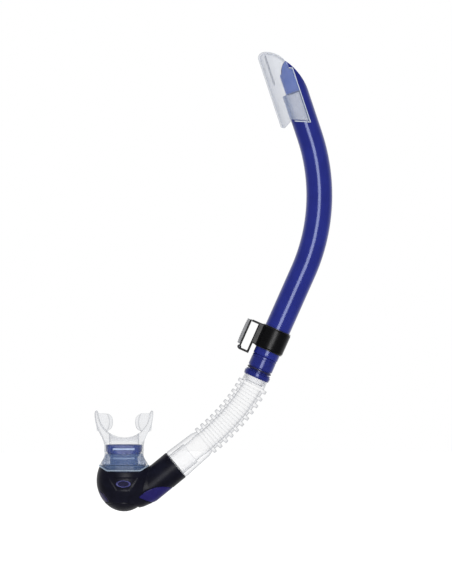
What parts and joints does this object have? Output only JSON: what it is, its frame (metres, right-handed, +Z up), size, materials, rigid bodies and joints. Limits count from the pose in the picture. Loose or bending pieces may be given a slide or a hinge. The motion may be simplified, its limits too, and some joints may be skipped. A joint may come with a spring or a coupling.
{
  "type": "snorkel",
  "caption": "Curved breathing snorkel with splash-guard cap, strap keeper, swivel, ribbed flexible hose, purge chamber and bite mouthpiece.",
  "frame": {"origin": "centre of the mask-strap slot in the keeper, which carries the snorkel", "axes": "+Z up along the worn snorkel, +X away from the mouthpiece towards the barrel, +Y across the bend, along the strap's run through the slot"},
  "size_m": [0.2281, 0.0435, 0.4409],
  "materials": {
    "tube_blue": "translucent glossy blue",
    "baffle_blue": "translucent blue",
    "cap_clear": "frosted translucent",
    "fitting_blue": "glossy blue",
    "seal_rubber": "smooth",
    "snap_plastic": "satin",
    "liner_plastic": "smooth",
    "keeper_black": "glossy black",
    "pad_grey": "ribbed matt",
    "pin_steel": "satin",
    "hose_silicone": "clear glossy",
    "chamber_blue": "translucent blue",
    "boot_black": "soft sheen",
    "window_indigo": "satin",
    "badge_blue": "satin",
    "purge_plastic": "satin",
    "cover_dark": "satin",
    "mouth_silicone": "milky clear",
    "diaphragm_silicone": "clear soft"
  },
  "bodies": {
    "barrel": {"main_tube": "tube_blue", "guard_baffle": "baffle_blue", "splash_cap": "cap_clear", "swivel_housing": "fitting_blue", "swivel_seal": "seal_rubber", "snap_ring": "snap_plastic"},
    "liner": {"keeper_liner": "liner_plastic"},
    "keeper": {"keeper_clip": "keeper_black", "gate_pin": "pin_steel"},
    "gate": {"strap_gate": "keeper_black", "gate_pad": "pad_grey"},
    "swivel": {"swivel_ring": "fitting_blue", "hose_upper_cuff": "hose_silicone"},
    "link_1": {"hose_link_1": "hose_silicone"},
    "link_2": {"hose_link_2": "hose_silicone"},
    "link_3": {"hose_link_3": "hose_silicone"},
    "link_4": {"hose_link_4": "hose_silicone"},
    "link_5": {"hose_link_5": "hose_silicone"},
    "link_6": {"hose_link_6": "hose_silicone"},
    "link_7": {"hose_link_7": "hose_silicone"},
    "link_8": {"hose_link_8": "hose_silicone"},
    "link_9": {"hose_link_9": "hose_silicone"},
    "chamber": {"hose_lower_cuff": "hose_silicone", "chamber_body": "chamber_blue", "chamber_boot": "boot_black", "neck_window": "window_indigo", "oval_badge": "badge_blue", "purge_seat": "purge_plastic", "purge_cover": "cover_dark", "mouthpiece": "mouth_silicone"},
    "diaphragm": {"purge_diaphragm": "diaphragm_silicone"}
  },
  "joints": [
    {"name": "keeper_slide", "type": "slide", "parent": "barrel", "child": "liner", "axis": [0.4067, 0, 0.9135], "range_m": [-0.004, 0.055]},
    {"name": "keeper_turn", "type": "hinge", "parent": "liner", "child": "keeper", "pos_m": [0.02248, 0, -0.00421], "axis": [0.4067, 0, 0.9135], "continuous": true},
    {"name": "gate_hinge", "type": "hinge", "parent": "keeper", "child": "gate", "pos_m": [-0.00961, 0, -0.01028], "axis": [0, -1, 0], "range_deg": [0, 40]},
    {"name": "swivel_turn", "type": "hinge", "parent": "barrel", "child": "swivel", "pos_m": [0.00642, 0, -0.04029], "axis": [0.4067, 0, 0.9135], "continuous": true},
    {"name": "hose_bend_1", "type": "hinge", "parent": "swivel", "child": "link_1", "pos_m": [0.00118, 0, -0.05147], "axis": [0, 1, 0], "range_deg": [-7.5, 7.5], "stiffness_Nm_per_rad": 1.8},
    {"name": "hose_sway_1", "type": "hinge", "parent": "link_1", "child": "link_2", "pos_m": [-0.00244, 0, -0.05735], "axis": [0.8395, 0, -0.5433], "range_deg": [-7.5, 7.5], "stiffness_Nm_per_rad": 1.8},
    {"name": "hose_bend_2", "type": "hinge", "parent": "link_2", "child": "link_3", "pos_m": [-0.00632, 0, -0.06305], "axis": [0, 1, 0], "range_deg": [-7.5, 7.5], "stiffness_Nm_per_rad": 1.8},
    {"name": "hose_sway_2", "type": "hinge", "parent": "link_3", "child": "link_4", "pos_m": [-0.01044, 0, -0.06859], "axis": [0.7908, 0, -0.6121], "range_deg": [-7.5, 7.5], "stiffness_Nm_per_rad": 1.8},
    {"name": "hose_bend_3", "type": "hinge", "parent": "link_4", "child": "link_5", "pos_m": [-0.01477, 0, -0.07396], "axis": [0, 1, 0], "range_deg": [-7.5, 7.5], "stiffness_Nm_per_rad": 1.8},
    {"name": "hose_sway_3", "type": "hinge", "parent": "link_5", "child": "link_6", "pos_m": [-0.01929, 0, -0.07917], "axis": [0.7432, 0, -0.6691], "range_deg": [-7.5, 7.5], "stiffness_Nm_per_rad": 1.8},
    {"name": "hose_bend_4", "type": "hinge", "parent": "link_6", "child": "link_7", "pos_m": [-0.024, 0, -0.08422], "axis": [0, 1, 0], "range_deg": [-7.5, 7.5], "stiffness_Nm_per_rad": 1.8},
    {"name": "hose_sway_4", "type": "hinge", "parent": "link_7", "child": "link_8", "pos_m": [-0.02888, 0, -0.0891], "axis": [0.6953, 0, -0.7187], "range_deg": [-7.5, 7.5], "stiffness_Nm_per_rad": 1.8},
    {"name": "hose_bend_5", "type": "hinge", "parent": "link_8", "child": "link_9", "pos_m": [-0.03391, 0, -0.09381], "axis": [0, 1, 0], "range_deg": [-7.5, 7.5], "stiffness_Nm_per_rad": 1.8},
    {"name": "hose_sway_5", "type": "hinge", "parent": "link_9", "child": "chamber", "pos_m": [-0.0391, 0, -0.09836], "axis": [0.647, 0, -0.7625], "range_deg": [-7.5, 7.5], "stiffness_Nm_per_rad": 1.8},
    {"name": "purge_lift", "type": "slide", "parent": "chamber", "child": "diaphragm", "axis": [0, 0, -1], "range_m": [0, 0.0015], "stiffness_N_per_m": 60}
  ],
  "couplings": [
    {"joint": "hose_bend_2", "follows": "hose_bend_1", "ratio": 1},
    {"joint": "hose_sway_2", "follows": "hose_sway_1", "ratio": 1},
    {"joint": "hose_bend_3", "follows": "hose_bend_1", "ratio": 1},
    {"joint": "hose_sway_3", "follows": "hose_sway_1", "ratio": 1},
    {"joint": "hose_bend_4", "follows": "hose_bend_1", "ratio": 1},
    {"joint": "hose_sway_4", "follows": "hose_sway_1", "ratio": 1},
    {"joint": "hose_bend_5", "follows": "hose_bend_1", "ratio": 1},
    {"joint": "hose_sway_5", "follows": "hose_sway_1", "ratio": 1}
  ]
}
